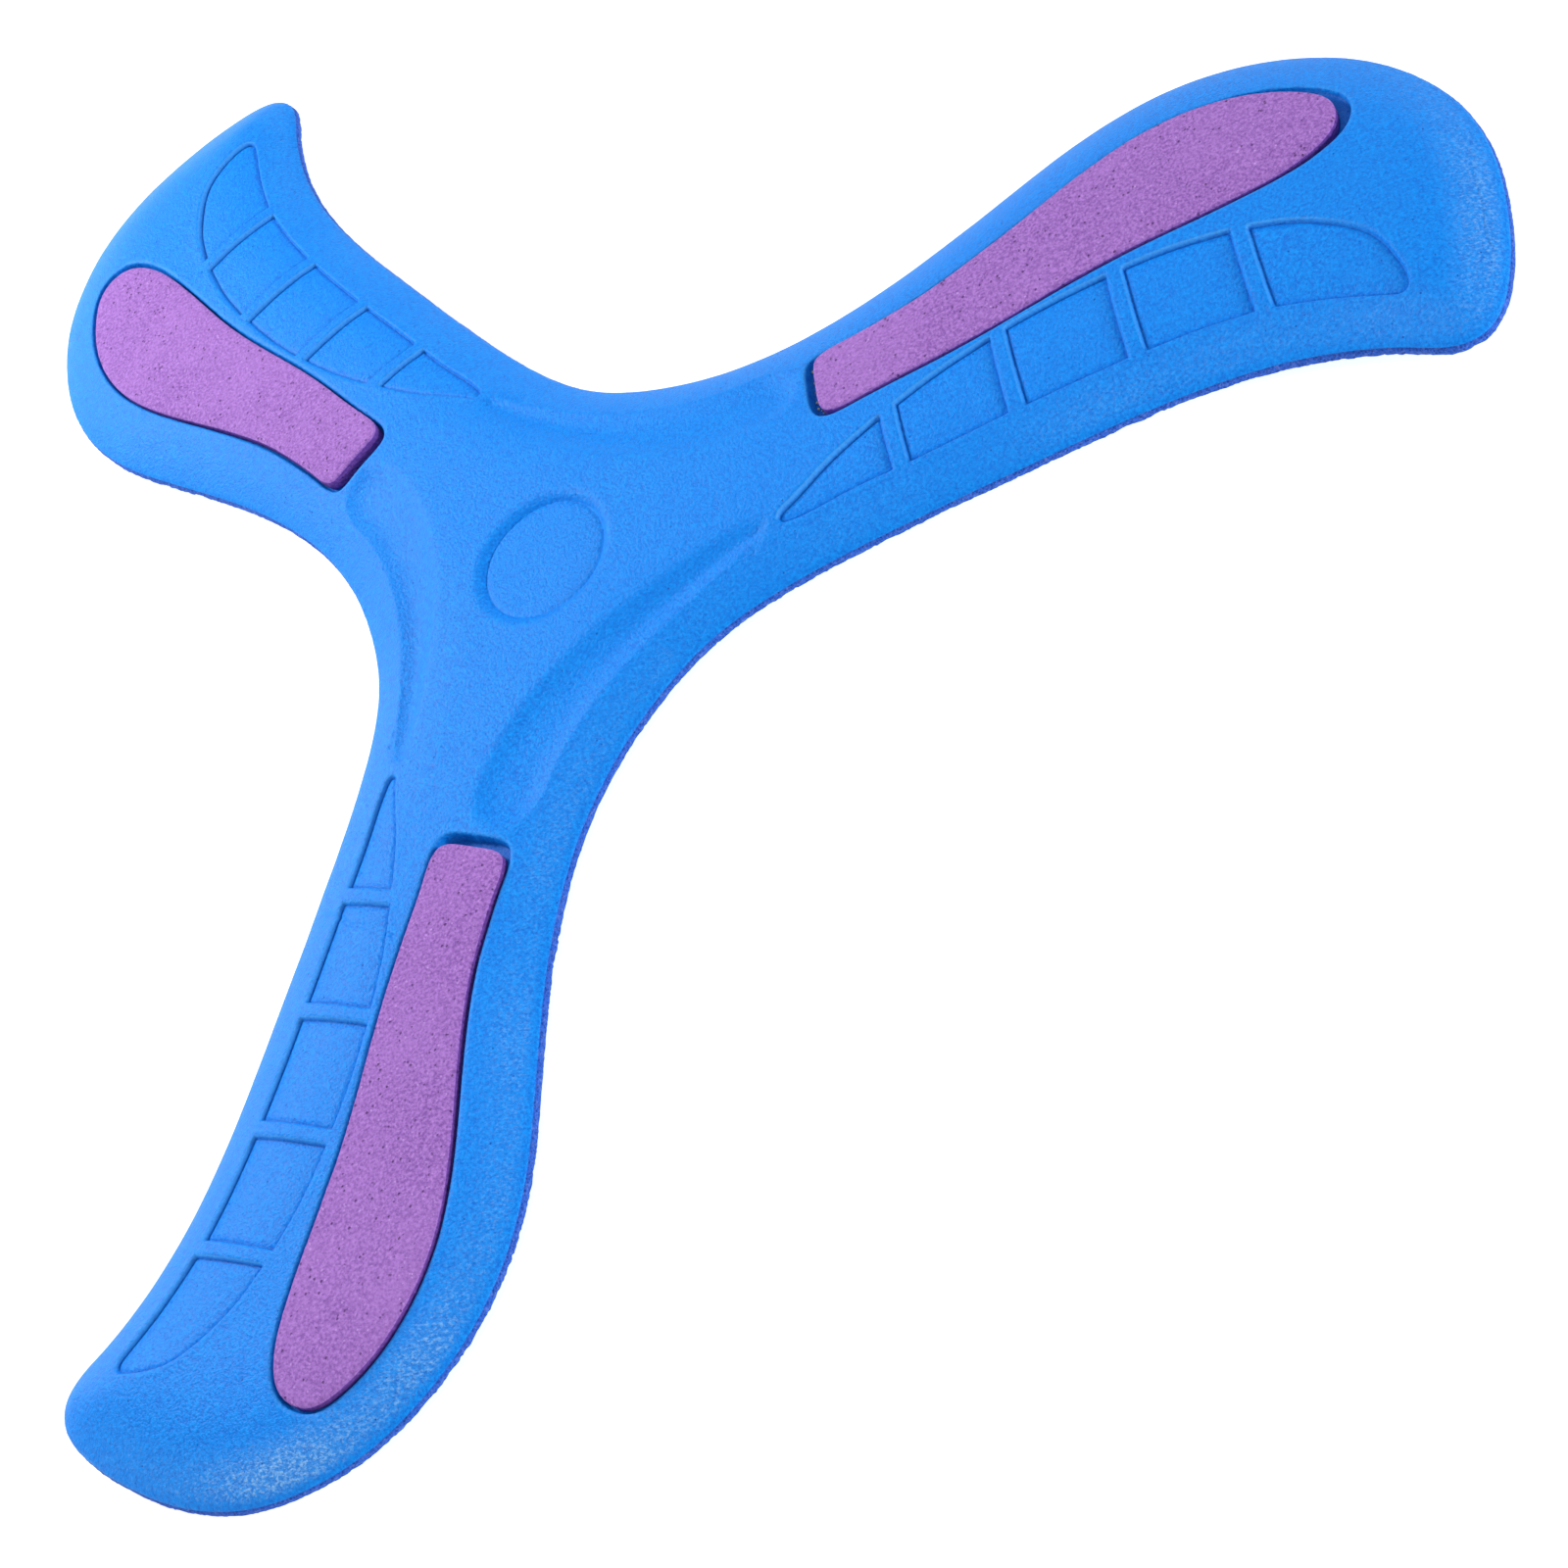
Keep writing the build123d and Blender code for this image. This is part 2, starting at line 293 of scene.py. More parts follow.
panels, scoops, pockets = [], [], []
for name, a in BLADE.items():
    panels += [Region(rot(p, a)) for p in panel_shapes]
    scoops.append((Region(rot(scoop_shape, a)), Line(rot(scoop_soft, a)), Line(rot(scoop_crisp, a))))
    pockets.append(Region(rot(pocket_shapes[name], a)))
hub = Region(hub_shape)


def dome(d):
    rise = THICKNESS - RIM
    inner = THICKNESS - rise * np.clip(1 - d / DOME_WIDTH, 0, None) ** DOME_POWER
    return np.where(d >= 0, inner, RIM + rise * DOME_POWER * d / DOME_WIDTH)


def dome_at(x):
    """domed height, averaged a little so the shoulder has no ridge"""
    total = 0
    ring = [(0, 0, 2.0)] + [(2.6 * math.cos(k * math.pi / 3), 2.6 * math.sin(k * math.pi / 3), 1.0)
                            for k in range(6)]
    d0 = -body_region.signed(x, 5)
    w = smooth((d0 - 1.0) / 4.0)
    for dx, dy, g in ring:
        total = total + g * dome(-body_region.signed(x + np.array([dx, dy]), 5))
    return dome(d0) * (1 - w) + total / 8.0 * w, d0


def height(x):
    """height of the top face, without its fine skin"""
    z, d = dome_at(x)
    for r in panels:
        z = z + curve(r.signed(x, 3), PANEL_EDGE)
    z = z + curve(hub.signed(x, 4), HUB_EDGE)
    for r, soft, crisp in scoops:
        s = r.signed(x, 3)
        near = np.flatnonzero(s < 1.5)
        side = np.where(s[near] < 0, 1.0, -1.0)
        u = curve(soft.away(x[near]) * side, SCOOP_SOFT)
        w = curve(crisp.away(x[near]) * side, SCOOP_CRISP)
        z[near] -= SCOOP_DEPTH * np.minimum(u, w)
    for r in pockets:
        s = r.signed(x, 3)
        z = np.where(s >= 0, z + curve(s, POCKET_EDGE), z)
        wall = z - 0.38 + (POCKET_FLOOR - z + 0.38) * np.clip(-s / 0.14, 0, 1)
        z = np.where(s < 0, wall, z)
    for name, deep, wide, line in CREASES:
        q = spline_open(rot(line, BLADE[name]), 0.08)
        near = np.flatnonzero(np.all((x > q.min(0) - 2) & (x < q.max(0) + 2), axis=1))
        if len(near):
            away = Line(q).away(x[near])
            ends = np.minimum(np.hypot(*(x[near] - q[0]).T), np.hypot(*(x[near] - q[-1]).T))
            z[near] -= deep * np.clip(1 - away / wide, 0, 1) * np.clip(0.25 + ends / 1.5, 0, 1)
            z[near] += 0.25 * deep * np.clip(1 - np.abs(away - 1.5 * wide) / (0.8 * wide), 0, 1)
    # the outer lip is slightly rolled
    z = z - 0.16 * np.clip(1 - d / 0.3, 0, 1) ** 2
    # soft unevenness of moulded foam
    z = z + 0.05 * noise2(x, 9.0, 3.1) + 0.03 * noise2(x, 3.6, 7.7)
    return z, d


def lay(v, blade=None):
    """how the soft blades lie: each one swings, lifts and twists a little"""
    v = np.array(v, float)
    ang = np.degrees(np.arctan2(v[:, 1], v[:, 0]))
    r = np.hypot(v[:, 0], v[:, 1])
    out = v.copy()
    for name, a in BLADE.items():
        off = (ang - a + 180) % 360 - 180
        sel = np.abs(off) <= 60 if blade is None else np.full(len(v), name == blade)
        if not sel.any():
            continue
        swing, lift, twist, stretch = LAY[name]
        g = np.clip((r[sel] - 35) / 110, 0, None)
        local = rot(v[sel, :2], -a)
        c, s = np.cos(swing * g), np.sin(swing * g)
        x = (local[:, 0] * c - local[:, 1] * s) * (1 + stretch * g)
        y = (local[:, 0] * s + local[:, 1] * c) * (1 + stretch * g)
        out[sel, :2] = rot(np.c_[x, y], a)
        out[sel, 2] = v[sel, 2] + lift * g ** 2 + twist * g * local[:, 1] / 20
    return out


def hex_grid(lo, hi, step):
    rows = int((hi[1] - lo[1]) / (step * 0.866)) + 1
    cols = int((hi[0] - lo[0]) / step) + 1
    y, x = np.mgrid[0:rows, 0:cols]
    x = lo[0] + (x + 0.5 * (y % 2)) * step
    y = lo[1] + y * step * 0.866
    return np.c_[x.ravel(), y.ravel()]


def mesh_plan(loops, region, step, keep_off, lines=()):
    """triangles of the plan inside region, with every loop and line as edges"""
    pts = [np.vstack(list(loops) + list(lines))]
    edges = []
    n = 0
    for p in loops:
        k = np.arange(len(p))
        edges += [(int(i), int(j)) for i, j in zip(k + n, (k + 1) % len(p) + n)]
        n += len(p)
    for p in lines:
        edges += [(i, i + 1) for i in range(n, n + len(p) - 1)]
        n += len(p)
    tree = kdtree.KDTree(n)
    for i, q in enumerate(pts[0]):
        tree.insert((q[0], q[1], 0), i)
    tree.balance()
    g = hex_grid(region.lo, region.hi, step)
    g = g[region.inside(g)]
    g = g[[tree.find((a, b, 0))[2] > keep_off for a, b in g]]
    pts.append(g)
    all_pts = np.vstack(pts)
    res = delaunay_2d_cdt([Vector(p) for p in all_pts], edges, [], 0, 1e-5)
    v = np.array([(q.x, q.y) for q in res[0]])
    f = np.array(res[2])
    cen = v[f].mean(1)
    return v, f[region.inside(cen)]


def make_object(name, verts, faces, mats, face_mats=None, smooth_faces=True):
    me = bpy.data.meshes.new(name)
    me.from_pydata([tuple(p) for p in np.asarray(verts) * MM], [], [tuple(map(int, f)) for f in faces])
    for m in mats:
        me.materials.append(m)
    if face_mats is not None:
        me.polygons.foreach_set("material_index", np.asarray(face_mats, np.int32))
    me.polygons.foreach_set("use_smooth", np.full(len(me.polygons), smooth_faces))
    me.validate()
    me.update()
    o = bpy.data.objects.new(name, me)
    bpy.context.scene.collection.objects.link(o)
    return o


# ----------------------------------------------------------------- materials
def new_mat(name):
    m = bpy.data.materials.new(name)
    m.use_nodes = True
    nt = m.node_tree
    nt.nodes.clear()
    out = nt.nodes.new("ShaderNodeOutputMaterial")
    b = nt.nodes.new("ShaderNodeBsdfPrincipled")
    nt.links.new(b.outputs[0], out.inputs[0])
    return m, nt, b


def node(nt, kind, **kw):
    n = nt.nodes.new(kind)
    for k, v in kw.items():
        if k in n.inputs:
            n.inputs[k].default_value = v
        else:
            setattr(n, k, v)
    return n


def ramp(nt, src, stops, interp="LINEAR"):
    r = nt.nodes.new("ShaderNodeValToRGB")
    r.color_ramp.interpolation = interp
    el = r.color_ramp.elements
    while len(el) < len(stops):
        el.new(0.5)
    for e, (pos, col) in zip(el, stops):
        e.position = pos
        e.color = col if len(col) == 4 else (*col, 1)
    nt.links.new(src, r.inputs[0])
    return r.outputs[0]


def noise_node(nt, vec, scale, detail=2.0, rough=0.5, lac=2.0):
    n = node(nt, "ShaderNodeTexNoise")
    n.inputs["Scale"].default_value = scale
    n.inputs["Detail"].default_value = detail
    n.inputs["Roughness"].default_value = rough
    n.inputs["Lacunarity"].default_value = lac
    nt.links.new(vec, n.inputs["Vector"])
    return n.outputs[0]


def voronoi(nt, vec, scale, feature="F1", rand=1.0):
    n = node(nt, "ShaderNodeTexVoronoi")
    n.feature = feature
    n.inputs["Scale"].default_value = scale
    n.inputs["Randomness"].default_value = rand
    nt.links.new(vec, n.inputs["Vector"])
    return n.outputs[0]


def mix_col(nt, fac, a, b):
    m = nt.nodes.new("ShaderNodeMix")
    m.data_type = "RGBA"
    for sock, v in ((m.inputs[0], fac), (m.inputs[6], a), (m.inputs[7], b)):
        if hasattr(v, "is_linked"):
            nt.links.new(v, sock)
        elif isinstance(v, tuple):
            sock.default_value = (*v, 1)
        else:
            sock.default_value = v
    return m.outputs[2]


def math_n(nt, op, a, b=0.0, clamp=False):
    m = nt.nodes.new("ShaderNodeMath")
    m.operation = op
    m.use_clamp = clamp
    for sock, v in ((m.inputs[0], a), (m.inputs[1], b)):
        if hasattr(v, "is_linked"):
            nt.links.new(v, sock)
        else:
            sock.default_value = v
    return m.outputs[0]


def bump(nt, height_out, strength, distance, prev=None):
    b = nt.nodes.new("ShaderNodeBump")
    b.inputs["Strength"].default_value = strength
    b.inputs["Distance"].default_value = distance
    nt.links.new(height_out, b.inputs["Height"])
    if prev is not None:
        nt.links.new(prev, b.inputs["Normal"])
    return b.outputs[0]


def mat_skin():
    m, nt, b = new_mat("blue_foam_skin")
    co = node(nt, "ShaderNodeTexCoord").outputs["Object"]
    fine = noise_node(nt, co, 2200, 2.0, 0.75)
    mid = noise_node(nt, co, 800, 2.0, 0.5)
    big = noise_node(nt, co, 42, 2.0, 0.5)
    pores = voronoi(nt, co, 620)
    pore_mask = ramp(nt, pores, [(0.0, (1, 1, 1)), (0.055, (1, 1, 1)), (0.11, (0, 0, 0))])
    pick = ramp(nt, noise_node(nt, co, 300, 1.0), [(0.0, (0, 0, 0)), (0.55, (0, 0, 0)), (0.61, (1, 1, 1))])
    pore = math_n(nt, "MULTIPLY", pore_mask, pick)
    at = node(nt, "ShaderNodeAttribute")
    at.attribute_name = "painted_sheen_and_wrinkle"
    painted_sheen_and_wrinkle = at.outputs["Fac"]
    squeeze = node(nt, "ShaderNodeMapping")
    squeeze.inputs["Scale"].default_value = (1.0, 1.6, 1.0)
    nt.links.new(co, squeeze.inputs[0])
    wrinkle = noise_node(nt, squeeze.outputs[0], 1750, 3.0, 0.62)
    crest = ramp(nt, wrinkle, [(0.46, (0, 0, 0)), (0.58, (0.45, 0.45, 0.45)), (0.68, (1, 1, 1))])
    base = mix_col(nt, ramp(nt, fine, [(0.34, (0, 0, 0)), (0.66, (1, 1, 1))]), (0.0003, 0.158, 0.72), (0.0012, 0.322, 0.99))
    base = mix_col(nt, ramp(nt, big, [(0.3, (0, 0, 0)), (0.75, (0.35, 0.35, 0.35))]), base, (0.0008, 0.236, 0.88))
    # painted highlight: along the shoulder mask a whitish blue, speckled by the wrinkle crests, is mixed into the
    # colour as painted sheen
    painted_sheen = math_n(nt, "MULTIPLY", painted_sheen_and_wrinkle, math_n(nt, "ADD", math_n(nt, "MULTIPLY", crest, 0.50), 0.05), True)
    base = mix_col(nt, painted_sheen, base, (0.27, 0.57, 1.0))
    base = mix_col(nt, pore, base, (0.0005, 0.075, 0.50))
    # painted shade in the panel and pocket recesses, painted highlight on the lips of walls that face the front
    at2 = node(nt, "ShaderNodeAttribute")
    at2.attribute_name = "painted_recess_shade"
    base = mix_col(nt, math_n(nt, "MULTIPLY", at2.outputs["Fac"], 0.88), base, (0.0003, 0.050, 0.36))
    at3 = node(nt, "ShaderNodeAttribute")
    at3.attribute_name = "painted_lip_highlight"
    base = mix_col(nt, math_n(nt, "MULTIPLY", at3.outputs["Fac"], 0.70), base, (0.12, 0.50, 1.0))
    nt.links.new(base, b.inputs["Base Color"])
    nt.links.new(ramp(nt, fine, [(0.25, (0.36, 0.36, 0.36)), (0.8, (0.56, 0.56, 0.56))]), b.inputs["Roughness"])
    b.inputs["Specular IOR Level"].default_value = 0.16
    n1 = bump(nt, mid, 0.12, 0.00016)
    n2 = bump(nt, fine, 0.9, 0.00022, n1)
    n3 = bump(nt, math_n(nt, "SUBTRACT", 1.0, pore), 0.6, 0.00015, n2)
    n4 = bump(nt, math_n(nt, "MULTIPLY", wrinkle, painted_sheen_and_wrinkle), 0.7, 0.00028, n3)
    nt.links.new(n4, b.inputs["Normal"])
    return m


def mat_edge():
    m, nt, b = new_mat("blue_foam_cut_edge")
    co = node(nt, "ShaderNodeTexCoord").outputs["Object"]
    cells = voronoi(nt, co, 2600)
    n = noise_node(nt, co, 1700, 3.0, 0.65)
    base = mix_col(nt, ramp(nt, cells, [(0.1, (0, 0, 0)), (0.6, (1, 1, 1))]), (0.005, 0.040, 0.30), (0.020, 0.120, 0.62))
    base = mix_col(nt, ramp(nt, n, [(0.5, (0, 0, 0)), (0.72, (1, 1, 1))]), base, (0.10, 0.20, 0.66))
    nt.links.new(base, b.inputs["Base Color"])
    b.inputs["Roughness"].default_value = 0.8
    b.inputs["Specular IOR Level"].default_value = 0.3
    n1 = bump(nt, cells, 0.8, 0.0003)
    n2 = bump(nt, n, 0.6, 0.00025, n1)
    nt.links.new(n2, b.inputs["Normal"])
    return m


def mat_inlay(name, side=False):
    m, nt, b = new_mat(name)
    co = node(nt, "ShaderNodeTexCoord").outputs["Object"]
    cells = voronoi(nt, co, 2100)
    n = noise_node(nt, co, 2150, 3.0, 0.70)
    big = noise_node(nt, co, 60, 2.0, 0.5)
    holes = voronoi(nt, co, 1150)
    hole_mask = ramp(nt, holes, [(0.0, (1, 1, 1)), (0.12, (1, 1, 1)), (0.26, (0, 0, 0))])
    pick = ramp(nt, noise_node(nt, co, 640, 1.0), [(0.0, (0, 0, 0)), (0.53, (0, 0, 0)), (0.63, (1, 1, 1))])
    hole = math_n(nt, "MULTIPLY", hole_mask, pick)
    specks = ramp(nt, voronoi(nt, co, 1250), [(0.0, (1, 1, 1)), (0.10, (1, 1, 1)), (0.24, (0, 0, 0))])
    some = ramp(nt, noise_node(nt, co, 900, 1.0), [(0.0, (0, 0, 0)), (0.52, (0, 0, 0)), (0.62, (1, 1, 1))])
    speck = math_n(nt, "MULTIPLY", specks, some)
    # the side walls get a darker copy of the violet, with fewer pale specks: painted shade on the cut walls
    lo, hi = ((0.085, 0.028, 0.21), (0.20, 0.075, 0.40)) if side else ((0.215, 0.080, 0.38), (0.445, 0.215, 0.665))
    base = mix_col(nt, ramp(nt, n, [(0.36, (0, 0, 0)), (0.64, (1, 1, 1))]), lo, hi)
    base = mix_col(nt, ramp(nt, big, [(0.35, (0, 0, 0)), (0.7, (0.35, 0.35, 0.35))]), base, hi)
    base = mix_col(nt, math_n(nt, "MULTIPLY", hole, 0.75), base, (0.10, 0.03, 0.20))
    base = mix_col(nt, math_n(nt, "MULTIPLY", speck, 0.25 if side else 0.55), base, (0.72, 0.45, 0.90))
    nt.links.new(base, b.inputs["Base Color"])
    b.inputs["Roughness"].default_value = 0.85
    b.inputs["Specular IOR Level"].default_value = 0.3
    n1 = bump(nt, cells, 0.45, 0.0002)
    n2 = bump(nt, n, 0.6, 0.0002, n1)
    n3 = bump(nt, math_n(nt, "SUBTRACT", 1.0, hole), 0.9, 0.0004, n2)
    nt.links.new(n3, b.inputs["Normal"])
    return m


def mat_glue():
    m, nt, b = new_mat("dried_contact_glue")
    co = node(nt, "ShaderNodeTexCoord").outputs["Object"]
    n = noise_node(nt, co, 500, 3.0, 0.6)
    base = mix_col(nt, n, (0.42, 0.38, 0.26), (0.75, 0.72, 0.58))
    nt.links.new(base, b.inputs["Base Color"])
    b.inputs["Roughness"].default_value = 0.3
    nt.links.new(bump(nt, n, 0.5, 0.0002), b.inputs["Normal"])
    return m


def mat_floor():
    m, nt, b = new_mat("studio_floor")
    co = node(nt, "ShaderNodeTexCoord").outputs["Object"]
    n = noise_node(nt, co, 6.0, 2.0, 0.5)
    nt.links.new(mix_col(nt, n, (0.50, 0.50, 0.50), (0.54, 0.54, 0.54)), b.inputs["Base Color"])
    b.inputs["Emission Color"].default_value = (1, 1, 1, 1)
    b.inputs["Emission Strength"].default_value = 0.84
    b.inputs["Roughness"].default_value = 0.9
    b.inputs["Specular IOR Level"].default_value = 0.0
    return m


skin, edge_mat = mat_skin(), mat_edge()
inlay_top, inlay_shaded_side = mat_inlay("violet_foam_skived"), mat_inlay("violet_foam_shaded_side", True)
glue_mat = mat_glue()

# ----------------------------------------------------------------- blue body
loops = [outline] + [offset(outline, -d) for d in (0.15, 0.4, 0.8)]
for name, a in BLADE.items():
    for p in panel_shapes:
        for s in (-0.38, -0.16, 0.0, 0.10, 0.28, 0.5, 0.8, 1.15):
            loops.append(rot(offset(p, s), a))
    for s in (0.8, 0.45, 0.22, 0.08, 0.0, -0.14, -0.6):
        loops.append(rot(offset(pocket_shapes[name], s), a))
for r in (9.65, 9.88, 10.0, 10.12, 10.5, 10.9, 11.3, 11.8, 12.5):
    loops.append(hub_shape * r / 10.0)
lines = []
for a in BLADE.values():
    mid = spline_open(SCOOP[13:], 0.8)
    q = np.gradient(mid, axis=0)
    q = np.c_[q[:, 1], -q[:, 0]] / np.linalg.norm(q, axis=1)[:, None]
    for s in (-1.2, -0.8, -0.35, 0.05, 0.3, 0.7):
        lines.append(rot(mid - q * s, a)[1:-2])
for name, deep, wide, line in CREASES:
    mid = spline_open(line, 0.35)
    q = np.gradient(mid, axis=0)
    q = np.c_[q[:, 1], -q[:, 0]] / np.linalg.norm(q, axis=1)[:, None]
    for s in (-1.5, -1.0, -0.5, 0.0, 0.5, 1.0, 1.5):
        lines.append(rot(mid + q * s * wide, BLADE[name]))
plan_v, plan_f = mesh_plan(loops, body_region, 0.82, 0.3, lines)
top_z, top_d = height(plan_v)
print("plan", len(plan_v), len(plan_f))

# find the outline ring inside the plan mesh, in order
tree = kdtree.KDTree(len(plan_v))
for i, q in enumerate(plan_v):
    tree.insert((q[0], q[1], 0), i)
tree.balance()
ring = []
for q in outline:
    i = tree.find((q[0], q[1], 0))[1]
    if not ring or ring[-1] != i:
        ring.append(i)
ring_xy = plan_v[ring]
nrm = np.roll(ring_xy, -1, 0) - np.roll(ring_xy, 1, 0)
nrm /= np.linalg.norm(nrm, axis=1)[:, None]
nrm = np.c_[nrm[:, 1], -nrm[:, 0]]

verts = [np.c_[plan_v, top_z]]
faces = [tuple(f) for f in plan_f]
fmat = [0] * len(faces)
count = len(plan_v)
prev = np.array(ring)
levels = [0.97, 0.91, 0.85, 0.78, 0.66, 0.52, 0.38, 0.24, 0.12, 0.03]
inset = [0.02, -0.07, -0.12, -0.03, 0.05, 0.04, 0.02, 0.0, -0.03, -0.08]
m = len(ring)
s_along = np.r_[0, np.cumsum(np.hypot(*np.diff(ring_xy, axis=0).T))]
rag = np.array([noise.noise((s / 0.7, 5.5, 0)) + 0.6 * noise.noise((s / 0.32, 1.5, 0)) for s in s_along])
nick = np.array([noise.noise((s / 2.6, 9.5, 0)) for s in s_along])
patch = np.array([noise.noise((s / 24.0, 2.5, 0)) for s in s_along])
rough = np.clip(0.55 + 1.1 * patch, 0.15, 1.0)
top_ring_z = top_z[ring]
# the die cut slants out a little, on two sides more than on the others
flare = 0.05 + 0.24 * smooth((np.abs(nrm @ np.array([0.90, 0.44])) - 0.45) / 0.3)
for k, lev in enumerate(levels):
    low = (1 - lev)
    cell = np.array([noise.noise((x / 0.5, y / 0.5, lev * 3.2)) for x, y in ring_xy])
    disp = inset[k] + flare * low + 0.10 * cell * min(1.0, 3 * low + 0.2) * (0.5 + rough)
    disp += 0.04 * np.array([noise.noise((x / 1.9, y / 1.9, lev)) for x, y in ring_xy])
    if k >= len(levels) - 3:
        disp -= rough * (np.clip(rag, 0, 1) * 0.14 + np.clip(nick - 0.2, 0, 1) * 0.30) * low
    z = top_ring_z * lev + 0.05 * np.array(
        [noise.noise((x / 0.7, y / 0.7, 20 + lev)) for x, y in ring_xy])
    if k == len(levels) - 1:
        z = np.clip(0.03 + rough * (np.clip(rag, -0.2, 1) * 0.16 + np.clip(nick - 0.2, 0, 1) * 0.45), 0, 0.4)
    xy = ring_xy + nrm * disp[:, None]
    verts.append(np.c_[xy, z])
    cur = np.arange(count, count + m)
    count += m
    for i in range(m):
        j = (i + 1) % m
        faces.append((prev[i], cur[i], cur[j], prev[j]))
        fmat.append(1)
    prev = cur
# underside: shallow roll-in, then flat
inner = offset(ring_xy, -0.35)
verts.append(np.c_[inner, np.zeros(m)])
cur = np.arange(count, count + m)
count += m
for i in range(m):
    j = (i + 1) % m
    faces.append((prev[i], cur[i], cur[j], prev[j]))
    fmat.append(1)
under_region = Region(inner)
uv, uf = mesh_plan([inner[::3]], Region(inner[::3]), 4.0, 1.5)
utree = kdtree.KDTree(m)
for i, q in enumerate(inner):
    utree.insert((q[0], q[1], 0), i)
utree.balance()
index = {}
for i, q in enumerate(uv):
    hit = utree.find((q[0], q[1], 0))
    if hit[2] < 1e-4:
        index[i] = int(cur[hit[1]])
extra = [i for i in range(len(uv)) if i not in index]
for n, i in enumerate(extra):
    index[i] = count + n
verts.append(np.c_[uv[extra], np.zeros(len(extra))])
count += len(extra)
for f in uf:
    faces.append(tuple(index[i] for i in f[::-1]))
    fmat.append(0)
# the two ring points skipped between every third one
for i in range(0, m - m % 3, 3):
    ids = [int(cur[(i + k) % m]) for k in range(4)]
    faces.append((ids[0], ids[1], ids[2], ids[3]))
    fmat.append(0)
rest = m - m % 3
if m % 3 and rest < m:
    ids = [int(cur[k % m]) for k in range(rest, m + 1)]
    if len(ids) >= 3:
        faces.append(tuple(ids))
        fmat.append(0)
flat = np.vstack(verts)
body = make_object("boomerang_body", lay(flat), faces, [skin, edge_mat], fmat)
# painted sheen mask: a band near the edge, on the sides that face the camera and the front lights, gets a painted
# whitish highlight; the same mask also scales the wrinkle bump
edge_pts = even(outline, 0.5, True)
etree = kdtree.KDTree(len(edge_pts))
for i, q in enumerate(edge_pts):
    etree.insert((q[0], q[1], 0), i)
etree.balance()
near = [etree.find((p[0], p[1], 0)) for p in flat]
gap = np.array([q[2] for q in near])
out_dir = np.array([(q[0][0], q[0][1]) for q in near]) - flat[:, :2]
out_dir /= np.maximum(np.linalg.norm(out_dir, axis=1), 0.05)[:, None]
side = smooth((out_dir @ np.array([0.62, -0.78]) + 0.15) / 0.9)
side *= smooth((np.hypot(flat[:, 0], flat[:, 1]) - 22) / 10)
left = smooth((-flat[:, 0] - 38) / 8) * (flat[:, 1] > 0)
band = smooth((gap - 0.3) / 1.2) * (1 - smooth((gap - 3.0) / 5.5))
patchy = np.clip(0.75 + 0.9 * noise2(flat[:, :2], 17.0, 4.4), 0.15, 1.3)
radius = np.hypot(flat[:, 0], flat[:, 1])
bearing = np.degrees(np.arctan2(flat[:, 1], flat[:, 0]))
# how strongly each blade's shoulder gets the painted sheen
painted_sheen_strength = np.where(np.abs(bearing) < 57, 0.25 + 0.60 * smooth((radius - 116) / 18), 0.9)
painted_sheen_strength = np.where(np.abs(bearing - 120) < 50, 0.30, painted_sheen_strength)
painted_sheen_strength += 0.9 * smooth((radius - 112) / 12) * (bearing < -85)
painted_sheen_strength *= 0.40 + 0.60 * smooth((radius - 55) / 30)
painted_sheen_and_wrinkle = band * side * (1 - left) * patchy * painted_sheen_strength
col = body.data.attributes.new("painted_sheen_and_wrinkle", "FLOAT", "POINT")
col.data.foreach_set("value", painted_sheen_and_wrinkle.astype(np.float32))
# painted shade at the feet of the panel walls, stronger where the wall faces the front, and over the pocket
# floors; painted highlight on the panel lips facing the front and round the pocket rims
painted_recess_shade, painted_lip_highlight = np.zeros(len(flat)), np.zeros(len(flat))
top = flat[:len(plan_v), :2]
for r in panels:
    d = r.signed(top, 1.5)
    n = np.flatnonzero(np.abs(d) < 1.2)
    d, q = d[n], top[n]
    grad = np.c_[r.signed(q + [0.06, 0], 3) - r.signed(q - [0.06, 0], 3),
                 r.signed(q + [0, 0.06], 3) - r.signed(q - [0, 0.06], 3)]
    grad /= np.maximum(np.linalg.norm(grad, axis=1), 1e-4)[:, None]
    facing = smooth((grad @ np.array([-0.45, 0.89]) + 0.1) / 0.9)
    painted_recess_shade[n] = np.maximum(painted_recess_shade[n], (0.55 + 0.45 * facing) * np.clip(1 - np.abs(d + 0.12) / 0.24, 0, 1))
    painted_lip_highlight[n] = np.maximum(painted_lip_highlight[n], facing * np.clip(1 - np.abs(d - 0.22) / 0.22, 0, 1))
for r in pockets:
    d = r.signed(top, 1.5)
    painted_recess_shade[:len(top)] = np.maximum(painted_recess_shade[:len(top)], np.clip(-d / 0.14, 0, 1) * 0.62)
    painted_lip_highlight[:len(top)] = np.maximum(painted_lip_highlight[:len(top)], 0.30 * np.clip(1 - np.abs(d - 0.30) / 0.30, 0, 1))
for tag, value in (("painted_recess_shade", painted_recess_shade), ("painted_lip_highlight", painted_lip_highlight)):
    col = body.data.attributes.new(tag, "FLOAT", "POINT")
    col.data.foreach_set("value", value.astype(np.float32))

